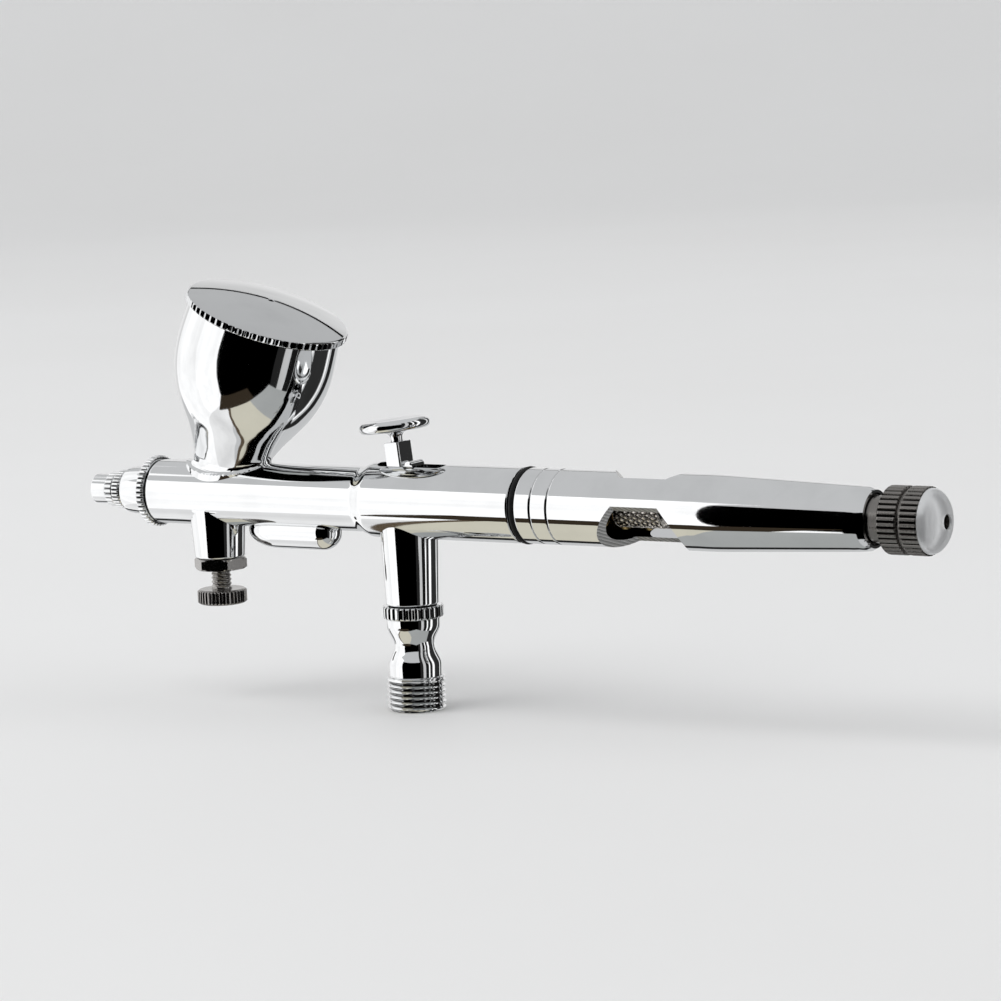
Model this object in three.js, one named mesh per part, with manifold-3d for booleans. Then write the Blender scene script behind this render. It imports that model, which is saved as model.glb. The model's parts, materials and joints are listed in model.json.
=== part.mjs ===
// Gravity-feed, dual-action airbrush with an air trimmer, a cutaway handle and a needle preset knob.
// Millimetres. X runs along the needle from the nose (-X) to the tail (+X), Y is across, Z is up.
// The parts are drawn with X = 0 on the air valve's axis and Z = 0 on the needle; the last lines
// move the whole airbrush so that its origin is the bottom centre of its bounding box.
import * as THREE from "three";
import { mergeVertices } from "three/addons/utils/BufferGeometryUtils.js";
import Module from "manifold-3d";

const wasm = await Module();
wasm.setup();

// ---- driving dimensions ----
const FACETS = 24; // round a large turned part
const FINE = 16; // round a small one
const CLEAR = 0.15; // gap between fitted parts

const NOSE_X = -63.5; // front of the needle cap
const TAIL_X = 99.7; // back of the preset knob
const BARREL_FRONT_X = -49.9;
const BARREL_FRONT_R = 5.43;
const BARREL_REAR_R = 6.25;
const SHOULDER_X = 23.1; // where the handle's O-ring sits
const SPIGOT_R = 4.75; // threaded tail of the barrel
const SPIGOT_END_X = 30;
const PAINT_R = 1.6; // paint passage along the needle
const CAVITY_R = 4.4; // room for the lever and the needle tube
const CASE_BORE_R = 4.0; // thread for the spring case
const SLOT_HALF_Y = 2.2; // trigger slot

const NEEDLE_R = 0.6;
const NEEDLE_TIP_X = -60.3;
const NEEDLE_TAPER_X = -47;
const NEEDLE_END_X = 66;

const TRIMMER_X = -38.6; // air trimmer's axis
const TRIMMER_BOSS_R = 4.33;
const TRIMMER_BOSS_Z = -10.8;
const VALVE_BOSS_R = 4.45;
const VALVE_BOSS_Z = -17.2;
const INLET_Z = -34.9; // bottom of the air inlet
const INLET_THREAD_R = 9.728 / 2; // G1/8 parallel thread
const THREAD_PITCH = 0.907;

const PIVOT_Z = -4.5; // trigger pin
const TRIGGER_LEAN = THREE.MathUtils.degToRad(-6.5);
const STEM_HALF_X = 1.45;
const STEM_HALF_Y = 2.05;
const PAD_R = 6;

const CUP_FOOT = new THREE.Vector3(-37.3, 0, 3); // on the cup's axis
const CUP_TILT = THREE.MathUtils.degToRad(21.5); // cup axis leans towards the tail
const CUP_WALL = 0.8;
const CUP_RIM_R = 13.2;
const FOOT_SQUEEZE = 0.62; // the foot is narrower across the barrel than along it
const FOOT_TOP = 13; // where the cup becomes round, along its axis
const PASSAGE_R = 2; // from the cup down to the needle
const LID_R = 13.9;
const LID_UNDER = 28.7; // along the cup's axis, from its foot
const LID_EDGE = 1.4;
const LID_CROWN = 2.0;
const VENT_R = 0.5;

const HANDLE_FRONT_X = 24.4;
const HANDLE_END_X = 87.2;
const HANDLE_R = 6.2;
const HANDLE_TAPER_X = 60;
const HANDLE_TAIL_R = 5.23;
const HANDLE_BORE_R = 5.0;
const HANDLE_TAIL_BORE_R = 4.16;
const CUT_START_X = 39; // two-sided cutaway
const CUT_END_X = 54.7;
const CUT_DEPTH_R = 2.65; // distance of each flat from the axis
const CUT_TURN = THREE.MathUtils.degToRad(-37); // the lower flat faces down and towards -Y

const KNOB_START_X = 89.5;
const KNOB_R = 5.45;

// ---- finishes ----
const chrome = () => new THREE.MeshStandardMaterial({ color: 0xd9dbdd, roughness: 0.06, metalness: 1 });
const steel = () => new THREE.MeshStandardMaterial({ color: 0xb9bcc0, roughness: 0.25, metalness: 1 });
const brass = () => new THREE.MeshStandardMaterial({ color: 0xc4a460, roughness: 0.25, metalness: 1 });
const nickel = () => new THREE.MeshStandardMaterial({ color: 0x8d8b88, roughness: 0.3, metalness: 1 });
const rubber = () => new THREE.MeshStandardMaterial({ color: 0x0c0c0d, roughness: 0.6, metalness: 0 });
const seal = () => new THREE.MeshStandardMaterial({ color: 0xf1f1ec, roughness: 0.5, metalness: 0 });

// ---- solids ----
function solidFrom(geometry) {
  geometry.deleteAttribute("normal");
  geometry.deleteAttribute("uv");
  const merged = mergeVertices(geometry.index ? geometry.toNonIndexed() : geometry, 1e-5);
  const triangles = [];
  for (let i = 0; i < merged.index.count; i += 3) {
    const [a, b, c] = [0, 1, 2].map((k) => merged.index.getX(i + k));
    if (a !== b && b !== c && a !== c) triangles.push(a, b, c);
  }
  return new wasm.Manifold(new wasm.Mesh({
    numProp: 3,
    vertProperties: new Float32Array(merged.attributes.position.array),
    triVerts: new Uint32Array(triangles),
  }));
}

function geometryFrom(solid) {
  const { vertProperties, triVerts } = solid.getMesh();
  const geometry = new THREE.BufferGeometry();
  geometry.setAttribute("position", new THREE.BufferAttribute(vertProperties, 3));
  geometry.setIndex(new THREE.BufferAttribute(triVerts, 1));
  geometry.computeVertexNormals();
  return geometry;
}

// A solid turned about X or Z: its profile is a list of [place along the axis, radius].
function latheSolid(profile, facets) {
  const points = profile.map(([along, radius]) => new THREE.Vector2(radius, along));
  return new THREE.LatheGeometry(points, facets);
}
const turnedX = (profile, facets = FACETS) => solidFrom(latheSolid(profile, facets).rotateZ(-Math.PI / 2));
const turnedZ = (profile, x = 0, facets = FACETS) =>
  solidFrom(latheSolid(profile, facets).rotateX(Math.PI / 2).translate(x, 0, 0));

const rodProfile = (from, to, radius) => [[from, 0], [from, radius], [to, radius], [to, 0]];
const tubeProfile = (from, to, outer, inner) => [
  [from, inner], [from, outer], [to, outer], [to, inner], [from, inner],
];
const rodX = (from, to, radius, facets) => turnedX(rodProfile(from, to, radius), facets);
const rodZ = (from, to, radius, x, facets) => turnedZ(rodProfile(from, to, radius), x, facets);

function box(x1, x2, y1, y2, z1, z2) {
  const geometry = new THREE.BoxGeometry(x2 - x1, y2 - y1, z2 - z1);
  return solidFrom(geometry.translate((x1 + x2) / 2, (y1 + y2) / 2, (z1 + z2) / 2));
}

// A six-sided section, swept round as a soft ring.
function ringProfile(middle, radius, halfWidth, halfHeight) {
  const points = [];
  for (let i = 0; i <= 6; i += 1) {
    const angle = (i % 6) * Math.PI / 3;
    points.push([middle - halfWidth * Math.cos(angle), radius + halfHeight * Math.sin(angle)]);
  }
  return points;
}

// A prism with straight teeth, the plain form of a straight-knurled rim, along X or Z.
function toothedPrism(from, to, radius, depth, teeth) {
  const shape = new THREE.Shape();
  for (let i = 0; i < 2 * teeth; i += 1) {
    const angle = i * Math.PI / teeth;
    const r = i % 2 ? radius - depth : radius;
    if (i) shape.lineTo(r * Math.cos(angle), r * Math.sin(angle));
    else shape.moveTo(r, 0);
  }
  const geometry = new THREE.ExtrudeGeometry(shape, { depth: to - from, bevelEnabled: false });
  return geometry.translate(0, 0, from);
}
const knurlX = (from, to, radius, depth, teeth) =>
  solidFrom(toothedPrism(from, to, radius, depth, teeth).rotateY(Math.PI / 2));
const knurlZ = (from, to, radius, depth, teeth, x = 0) =>
  solidFrom(toothedPrism(from, to, radius, depth, teeth).translate(x, 0, 0));

// A side outline drawn in X and Z, made thick across Y.
function plate(outline, halfY) {
  const settings = { depth: 2 * halfY, bevelEnabled: false, curveSegments: 8 };
  const geometry = new THREE.ExtrudeGeometry(outline, settings);
  return solidFrom(geometry.translate(0, 0, -halfY).rotateX(Math.PI / 2));
}

class Helix extends THREE.Curve {
  constructor(from, to, radius, turns) {
    super();
    Object.assign(this, { from, to, radius, turns });
  }

  getPoint(t, target = new THREE.Vector3()) {
    const angle = 2 * Math.PI * this.turns * t;
    const along = this.from + (this.to - this.from) * t;
    return target.set(this.radius * Math.cos(angle), this.radius * Math.sin(angle), along);
  }
}

function springGeometry(from, to, radius, wire, turns) {
  const section = new THREE.Shape();
  for (let i = 0; i < 5; i += 1) {
    const angle = i * 2 * Math.PI / 5;
    const point = [wire * Math.cos(angle), wire * Math.sin(angle)];
    if (i) section.lineTo(...point);
    else section.moveTo(...point);
  }
  const path = new Helix(from, to, radius, turns);
  return new THREE.ExtrudeGeometry(section, { extrudePath: path, steps: turns * 8, bevelEnabled: false });
}

// ---- barrel ----
function barrelShell() {
  const body = turnedX([
    [BARREL_FRONT_X, 0], [BARREL_FRONT_X, BARREL_FRONT_R - 0.3], [BARREL_FRONT_X + 0.3, BARREL_FRONT_R],
    [-8.5, BARREL_FRONT_R], [-5.5, BARREL_REAR_R], [SHOULDER_X - 0.2, BARREL_REAR_R],
    [SHOULDER_X, BARREL_REAR_R - 0.2], [SHOULDER_X, SPIGOT_R], [SPIGOT_END_X, SPIGOT_R], [SPIGOT_END_X, 0],
  ]);
  const trimmerBoss = rodZ(TRIMMER_BOSS_Z, -1, TRIMMER_BOSS_R, TRIMMER_X);
  const valveBoss = rodZ(VALVE_BOSS_Z, -1, VALVE_BOSS_R, 0);
  return body.add(trimmerBoss).add(valveBoss).add(airPassageBulge());
}

// The streamlined cover of the air passage, under the barrel behind the trimmer.
function airPassageBulge() {
  const start = -32;
  const end = -14;
  const radius = 3;
  const profile = [[start, 0]];
  for (let i = 1; i < 4; i += 1) {
    const angle = i * Math.PI / 8;
    profile.push([start + 6 * (1 - Math.cos(angle)), radius * Math.sin(angle)]);
  }
  profile.push([start + 6, radius]);
  for (let i = 0; i < 4; i += 1) {
    const angle = i * Math.PI / 8;
    profile.push([end - 3 + 3 * Math.sin(angle), radius * Math.cos(angle)]);
  }
  profile.push([end, 0]);
  return turnedX(profile, FINE).translate([0, 0, -5.9]);
}

function barrelBores() {
  const alongNeedle = turnedX([
    [BARREL_FRONT_X - 1, 0], [BARREL_FRONT_X - 1, 3.65], [-45.3, 3.65], [-45.3, 3.35], [-44, 3.35],
    [-44, PAINT_R], [-24.2, PAINT_R], [-24.2, 2.2], [-20.9, 2.2], [-20.9, 2.75], [-5, 2.75],
    [-5, CAVITY_R], [10, CAVITY_R], [10, CASE_BORE_R], [SPIGOT_END_X + 1, CASE_BORE_R], [SPIGOT_END_X + 1, 0],
  ]);
  const fromCup = cupFrame(rodZ(-3.2, 6, PASSAGE_R, 0, FINE));
  const slot = box(-4.8, 8.2, -SLOT_HALF_Y, SLOT_HALF_Y, 0, 8);
  const leverPocket = box(-3.3, 3.3, -SLOT_HALF_Y, SLOT_HALF_Y, -5.9, 1);
  const valve = turnedZ([
    [VALVE_BOSS_Z - 1, 0], [VALVE_BOSS_Z - 1, 4.05], [-16.6, 4.05], [-16.6, 3.35], [-11.3, 3.35],
    [-11.3, 1.9], [-5, 1.9], [-5, 0],
  ]);
  const trimmer = turnedZ([
    [TRIMMER_BOSS_Z - 1, 0], [TRIMMER_BOSS_Z - 1, 2.45], [-4.7, 2.45], [-4.7, 1.7], [-3.9, 1.7], [-3.9, 0],
  ], TRIMMER_X, FINE);
  return alongNeedle.add(fromCup).add(slot).add(leverPocket).add(valve).add(trimmer);
}

const barrel = () => barrelShell().subtract(barrelBores());

// ---- paint cup and lid, drawn upright about their own axis ----
function cupFrame(solid) {
  const placed = new THREE.Matrix4().makeRotationY(CUP_TILT).setPosition(CUP_FOOT);
  return solid.transform(placed.elements);
}

// Tulip outline: [distance along the cup's axis, radius].
function cupOutline(inset) {
  const through = [
    [6.4, 2.6], [7.6, 5.6], [8.9, 8.6], [10.5, 11.6], [12, 14.6], [13.1, 18.3], [13.5, 22.5],
    [CUP_RIM_R, LID_UNDER - 0.1],
  ];
  const curve = new THREE.SplineCurve(through.map(([r, along]) => new THREE.Vector2(r - inset, along)));
  return curve.getPoints(10).map((point) => [point.y, point.x]);
}

// A turned shape that is squeezed across Y towards its foot.
function squeezedLathe(profile) {
  const geometry = latheSolid(profile, FACETS).rotateX(Math.PI / 2);
  const position = geometry.attributes.position;
  for (let i = 0; i < position.count; i += 1) {
    const round = THREE.MathUtils.smoothstep(position.getZ(i), 0, FOOT_TOP);
    position.setY(i, position.getY(i) * THREE.MathUtils.lerp(FOOT_SQUEEZE, 1, round));
  }
  return solidFrom(geometry);
}

function paintCup() {
  const rim = LID_UNDER - 0.1;
  const outside = squeezedLathe([[-2, 0], [-2, 5.6], ...cupOutline(0), [rim, 0]]);
  const bowlSide = cupOutline(CUP_WALL).slice(3);
  const mouthR = CUP_RIM_R - CUP_WALL;
  const bowl = squeezedLathe([[6.2, 0], [6.2, 5], ...bowlSide, [rim + 1, mouthR], [rim + 1, 0]]);
  const passage = rodZ(-3, 7, PASSAGE_R, 0, FINE);
  const barrelSeat = rodX(-60, 0, BARREL_FRONT_R + 0.25);
  return cupFrame(outside.subtract(bowl).subtract(passage)).subtract(barrelSeat);
}

function cupLid() {
  const top = LID_UNDER + LID_EDGE;
  const sphereR = (LID_R ** 2 + LID_CROWN ** 2) / (2 * LID_CROWN);
  const crown = [];
  for (let i = 0; i <= 4; i += 1) {
    const r = (LID_R - 0.4) * (1 - i / 4);
    crown.push([top + LID_CROWN - sphereR + Math.sqrt(sphereR ** 2 - r ** 2), r]);
  }
  const plugR = CUP_RIM_R - CUP_WALL - CLEAR;
  const edge = knurlZ(LID_UNDER + 0.1, top, LID_R, 0.35, 36);
  const plug = turnedZ(tubeProfile(LID_UNDER - 1.9, LID_UNDER + 0.4, plugR, plugR - CUP_WALL));
  const dome = turnedZ([[top - 0.3, 0], [top - 0.3, LID_R - 0.4], ...crown]);
  const vent = rodZ(20, 40, VENT_R, 0, FINE);
  return cupFrame(edge.add(plug).add(dome).subtract(vent));
}

// ---- nose ----
function airHead() {
  const screwed = turnedX(rodProfile(-51.4, -45.4, 3.5));
  const flange = knurlX(-51.5, -50.05, 6.05, 0.3, 24);
  const bore = turnedX([[-52, 0], [-52, 3.2], [-50.2, 3.2], [-50.2, 1.75], [-45, 1.75], [-45, 0]]);
  return screwed.add(flange).subtract(bore);
}

function nozzleCap() {
  const cone = turnedX([
    [-59.6, 0], [-59.6, 1.5], [-58.75, 1.5], [-58.75, 3.1], [-58.5, 3.35], [-56.4, 3.35], [-56.4, 3.65],
    [-51.65, 4.1], [-51.65, 3.05], [-50.35, 3.05], [-50.35, 0],
  ]);
  const air = turnedX([[-60, 0], [-60, 0.9], [-58.6, 0.9], [-57, 1.9], [-50, 2.2], [-50, 0]]);
  return cone.subtract(air);
}

function needleCap() {
  const crown = turnedX([
    [NOSE_X, 0], [NOSE_X, 2.3], [NOSE_X + 0.2, 2.5], [-60.4, 2.5], [-60.4, 2.95], [-58.9, 2.95], [-58.9, 0],
  ], FINE);
  return crown.subtract(rodX(NOSE_X - 1, -58, 1.7, FINE));
}

const fluidNozzle = () => turnedX([
  [-59.2, 0.17], [-59.2, 0.35], [-50.5, 1.2], [-49, 1.2], [-49, 1.6], [-46.2, 1.6], [-46.2, 0.78],
  [-47.5, 0.75], [-59.2, 0.17],
], FINE);

const headSeal = () => turnedX(ringProfile(-44.65, 2.55, 0.55, 0.65), FINE);

// ---- needle line ----
const needle = () => turnedX([
  [NEEDLE_TIP_X, 0], [NEEDLE_TAPER_X, NEEDLE_R], [NEEDLE_END_X - 0.4, NEEDLE_R],
  [NEEDLE_END_X, NEEDLE_R - 0.3], [NEEDLE_END_X, 0],
], 12);

const needlePacking = () => turnedX(tubeProfile(-24.05, -21.05, 2.05, 0.7), FINE);

function packingScrew() {
  const screw = turnedX(tubeProfile(-20.75, -12, 2.6, 0.75), FINE);
  return screw.subtract(box(-12.8, -11, -3, 3, -0.45, 0.45));
}

function needleTube() {
  const tube = turnedX([
    [4.4, 0], [4.4, 2], [6.5, 2], [6.5, 3.3], [8, 3.3], [8, 2], [40, 2], [40, 1.6], [46.8, 1.6], [46.8, 0],
  ], FINE);
  const tongue = box(2.3, 5, -1.05, 1.05, -2.3, 1.2);
  const pinHole = crossRod(3, -1.55, 0.5, 3);
  return tube.add(tongue).subtract(pinHole).subtract(rodX(0, 50, NEEDLE_R + 0.1, 12));
}

// A rod across the airbrush, along Y.
function crossRod(x, z, radius, halfY) {
  const geometry = new THREE.CylinderGeometry(radius, radius, 2 * halfY, 12);
  return solidFrom(geometry.translate(x, 0, z));
}

function backLever() {
  const outline = new THREE.Shape();
  const roundR = 0.75;
  const roundX = 1.6;
  const roundZ = 6;
  outline.moveTo(1.6, -2.6);
  outline.lineTo(4.1, -2.6);
  outline.lineTo(4.1, 0.5);
  outline.lineTo(2.6, 2.5);
  outline.lineTo(roundX + roundR, roundZ);
  outline.absarc(roundX, roundZ, roundR, 0, Math.PI, false);
  outline.lineTo(0.95, 2.5);
  outline.closePath();
  const needleGap = box(0, 6, -1.2, 1.2, -4, 1.5);
  return plate(outline, 1.85).subtract(needleGap).subtract(crossRod(3, -1.55, 0.5, 3));
}

const backLeverPin = () => crossRod(3, -1.55, 0.4, 1.8);

const needleSpring = () => solidFrom(springGeometry(8.5, 33.5, 2.85, 0.3, 11).rotateY(Math.PI / 2));

function springCase() {
  return turnedX([
    [12.6, 3.45], [12.6, 3.85], [36, 3.85], [37.5, 3.3], [37.5, 2.2], [34.2, 2.2], [34.2, 3.45], [12.6, 3.45],
  ], FINE);
}

function chuckNut() {
  const outside = turnedX([
    [40.5, 0], [40.5, 2.4], [41, 2.9], [49.8, 2.9], [51, 1.8], [51, 0],
  ], 24);
  const inside = turnedX([[40, 0], [40, 1.75], [47.1, 1.75], [47.5, 0.75], [52, 0.75], [52, 0]], 12);
  return outside.subtract(inside);
}

// ---- handle and preset knob ----
function handle() {
  const shell = turnedX([
    [HANDLE_FRONT_X, SPIGOT_R + CLEAR], [HANDLE_FRONT_X, HANDLE_R - 0.2], [HANDLE_FRONT_X + 0.2, HANDLE_R],
    [27.2, HANDLE_R], [27.35, HANDLE_R - 0.15], [27.5, HANDLE_R], [30.35, HANDLE_R], [30.5, HANDLE_R - 0.15],
    [30.65, HANDLE_R], [HANDLE_TAPER_X, HANDLE_R], [84.5, HANDLE_TAIL_R], [HANDLE_END_X, 4.6],
    [HANDLE_END_X, HANDLE_TAIL_BORE_R], [60, HANDLE_TAIL_BORE_R], [58, HANDLE_BORE_R],
    [32, HANDLE_BORE_R], [31, SPIGOT_R + CLEAR], [HANDLE_FRONT_X, SPIGOT_R + CLEAR],
  ]);
  return shell.subtract(cutaway(1)).subtract(cutaway(-1));
}

// One side of the cutaway: a flat at CUT_DEPTH_R with ends sloping out at 45 degrees.
function cutaway(side) {
  const deep = CUT_DEPTH_R;
  const high = HANDLE_R + 1;
  const run = high - deep;
  const slope = HANDLE_R - deep;
  const outline = new THREE.Shape([
    new THREE.Vector2(CUT_START_X + slope - run, high), new THREE.Vector2(CUT_START_X + slope, deep),
    new THREE.Vector2(CUT_END_X - slope, deep), new THREE.Vector2(CUT_END_X - slope + run, high),
  ]);
  const solid = plate(outline, HANDLE_R + 1);
  const turn = side > 0 ? CUT_TURN : CUT_TURN + Math.PI;
  return solid.transform(new THREE.Matrix4().makeRotationX(turn).elements);
}

const handleOring = () => turnedX(ringProfile(23.75, 5.7, 0.58, 0.78));

function presetKnob() {
  const shaft = turnedX([
    [72.8, 0], [72.8, 2], [75.5, 2], [76.2, 3.95], [81.8, 3.95], [81.8, 3.1], [83.2, 3.1], [83.2, 3.95],
    [87, 3.95], [87, 3.8], [KNOB_START_X, 3.8],
    [KNOB_START_X, KNOB_R - 0.7], [KNOB_START_X + 0.6, KNOB_R - 0.2],
    [93.2, KNOB_R - 0.2], [93.3, KNOB_R - 0.5], [93.8, KNOB_R - 0.5], [93.9, KNOB_R - 0.2],
    [96.8, KNOB_R - 0.2], [98.3, KNOB_R - 1.2], [99.3, 3], [TAIL_X, 1.25], [TAIL_X, 0],
  ]);
  const frontKnurl = knurlX(KNOB_START_X + 0.6, 93.2, KNOB_R, 0.3, 20);
  const rearKnurl = knurlX(93.9, 96.8, KNOB_R, 0.3, 20);
  return shaft.add(frontKnurl).add(rearKnurl).subtract(rodX(92, TAIL_X + 1, 1.25, 12));
}

const presetOring = () => turnedX(ringProfile(82.5, 3.65, 0.6, 0.45), FINE);

// ---- air valve ----
function valveBody() {
  const outside = turnedZ([
    [INLET_Z, 0], ...inletThread(), [-29.2, 4.4], [-27.3, 4.4], ...waist(), [-20.6, 4.5], [-19.4, 4.5],
    [-19.4, 4.85], [-17.35, 4.85], [-17.35, 3.2], [-11.5, 3.2], [-11.5, 0],
  ]);
  const flange = knurlZ(-19.4, -17.35, 5.15, 0.3, 22);
  const inside = turnedZ([
    [INLET_Z - 1, 0], [INLET_Z - 1, 2.3], [-14, 2.3], [-14, 1.05], [-11, 1.05], [-11, 0],
  ], 0, FINE);
  return outside.add(flange).subtract(inside);
}

// Ring grooves stand for the helical thread.
function inletThread() {
  const points = [[INLET_Z, INLET_THREAD_R - 0.6], [INLET_Z + 0.5, INLET_THREAD_R - 0.1]];
  const crests = 6;
  for (let i = 0; i < crests; i += 1) {
    const z = INLET_Z + 0.5 + i * THREAD_PITCH;
    points.push([z + 0.25, INLET_THREAD_R], [z + THREAD_PITCH / 2 + 0.1, INLET_THREAD_R - 0.5]);
  }
  return points;
}

function waist() {
  const points = [];
  for (let i = 1; i < 6; i += 1) {
    const t = i / 6;
    const z = THREE.MathUtils.lerp(-27.3, -20.6, t);
    points.push([z, 3.3 + 1.15 * Math.cos(Math.PI * t) ** 2]);
  }
  return points;
}

const valveSeal = () => turnedZ(ringProfile(-16.95, 3.65, 0.28, 0.3), 0, FINE);

const triggerPlunger = () => rodZ(-9.7, PIVOT_Z + 0.9, 1.75, 0, FINE)
  .subtract(box(-3, 3, -0.75, 0.75, PIVOT_Z - 1.7, 0))
  .subtract(crossRod(0, PIVOT_Z, 0.52, 3));

const triggerPin = () => crossRod(0, PIVOT_Z, 0.42, 1.6);

const valvePiston = () => turnedZ([
  [-20, 0], [-20, 0.9], [-17.6, 0.9], [-17.6, 2.0], [-15.9, 2.0], [-15.9, 0.9], [-9.85, 0.9], [-9.85, 0],
], 0, FINE);

const pistonSeal = () => turnedZ(ringProfile(-15.3, 1.5, 0.45, 0.45), 0, FINE);

const valveSpring = () => solidFrom(springGeometry(-25.8, -18, 1.6, 0.22, 6));

const valveScrew = () => turnedZ(tubeProfile(-30, -26.2, 2.15, 1.2), 0, FINE)
  .subtract(box(-3, 3, -0.4, 0.4, -31, -29.2));

// ---- trigger, drawn upright above its pin ----
function trigger() {
  const padUnder = 16.6;
  const stem = box(-STEM_HALF_X, STEM_HALF_X, -STEM_HALF_Y, STEM_HALF_Y, 1.9, 14.4);
  const foot = new THREE.Shape();
  foot.absarc(0, 0, STEM_HALF_X, Math.PI, 2 * Math.PI, false);
  foot.lineTo(STEM_HALF_X, 2.5);
  foot.lineTo(-STEM_HALF_X, 2.5);
  foot.closePath();
  const neck = turnedZ([
    [14, 0], [14, 1.2], [15, 1], [16, 1.5], [padUnder + 0.2, 3], [padUnder + 0.2, 0],
  ], 0, FINE);
  const pad = turnedZ([
    [padUnder, 0], [padUnder, PAD_R - 0.8], [padUnder + 0.4, PAD_R - 0.1], [padUnder + 0.9, PAD_R],
    [padUnder + 1.4, PAD_R - 0.3], [padUnder + 1.5, PAD_R - 0.9], [padUnder + 1.1, 0],
  ]);
  const needleSlot = box(-3, 3, -0.85, 0.85, 2.9, 8.6);
  const upright = stem.add(plate(foot, 0.55)).add(neck).add(pad)
    .subtract(needleSlot).subtract(crossRod(0, 0, 0.52, 3));
  const placed = new THREE.Matrix4().makeRotationY(TRIGGER_LEAN).setPosition(0, 0, PIVOT_Z);
  return upright.transform(placed.elements);
}

// ---- air trimmer ----
function trimmerNut() {
  const hexagon = new THREE.Shape();
  for (let i = 0; i < 6; i += 1) {
    const angle = i * Math.PI / 3 + Math.PI / 9;
    const point = [4.6 * Math.cos(angle), 4.6 * Math.sin(angle)];
    if (i) hexagon.lineTo(...point);
    else hexagon.moveTo(...point);
  }
  const head = new THREE.ExtrudeGeometry(hexagon, { depth: 1.95, bevelEnabled: false });
  return solidFrom(head.translate(TRIMMER_X, 0, -12.9))
    .add(rodZ(-11.5, -8.7, 2.3, TRIMMER_X, FINE))
    .subtract(rodZ(-14, -8, 1.85, TRIMMER_X, FINE));
}

function trimmerScrew() {
  const stem = turnedZ([
    [-18.8, 0], [-18.8, 3.6], [-18.6, 3.9], [-16.5, 3.9], [-16.3, 3.6], [-16.3, 1.7], [-8.3, 1.7],
    [-8.3, 1.15], [-7.35, 1.15], [-7.35, 1.7], [-7, 1.7], [-6.2, 0.4], [-6.2, 0],
  ], TRIMMER_X, FINE);
  return stem.add(knurlZ(-18.6, -16.5, 4.2, 0.35, 18, TRIMMER_X));
}

const trimmerOring = () => turnedZ(ringProfile(-7.83, 1.8, 0.42, 0.55), TRIMMER_X, FINE);

// ---- assembly ----
const airbrush = new THREE.Group();

function addPart(name, solid, material) {
  const mesh = new THREE.Mesh(geometryFrom(solid), material);
  mesh.name = name;
  airbrush.add(mesh);
}

addPart("barrel", barrel(), chrome());
addPart("paint_cup", paintCup(), chrome());
addPart("cup_lid", cupLid(), chrome());
addPart("air_head", airHead(), chrome());
addPart("nozzle_cap", nozzleCap(), chrome());
addPart("needle_cap", needleCap(), chrome());
addPart("fluid_nozzle", fluidNozzle(), steel());
addPart("head_seal", headSeal(), seal());
addPart("needle", needle(), steel());
addPart("needle_packing", needlePacking(), seal());
addPart("packing_screw", packingScrew(), brass());
addPart("needle_tube", needleTube(), brass());
addPart("back_lever", backLever(), chrome());
addPart("back_lever_pin", backLeverPin(), steel());
addPart("needle_spring", needleSpring(), steel());
addPart("spring_case", springCase(), brass());
addPart("chuck_nut", chuckNut(), nickel());
addPart("handle_oring", handleOring(), rubber());
addPart("handle", handle(), chrome());
addPart("preset_oring", presetOring(), rubber());
addPart("preset_knob", presetKnob(), nickel());
addPart("valve_body", valveBody(), chrome());
addPart("valve_seal", valveSeal(), rubber());
addPart("trigger", trigger(), chrome());
addPart("trigger_pin", triggerPin(), steel());
addPart("trigger_plunger", triggerPlunger(), brass());
addPart("valve_piston", valvePiston(), brass());
addPart("piston_seal", pistonSeal(), rubber());
addPart("valve_spring", valveSpring(), steel());
addPart("valve_screw", valveScrew(), brass());
addPart("trimmer_nut", trimmerNut(), nickel());
addPart("trimmer_screw", trimmerScrew(), nickel());
addPart("trimmer_oring", trimmerOring(), rubber());

airbrush.position.set(-(NOSE_X + TAIL_X) / 2, 0, -INLET_Z);

export default airbrush;
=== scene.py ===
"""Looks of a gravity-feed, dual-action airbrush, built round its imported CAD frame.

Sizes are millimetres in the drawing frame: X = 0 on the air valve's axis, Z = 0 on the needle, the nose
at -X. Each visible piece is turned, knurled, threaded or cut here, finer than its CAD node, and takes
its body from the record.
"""
import json
import math

import bmesh
import bpy
from mathutils import Matrix, Vector

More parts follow.
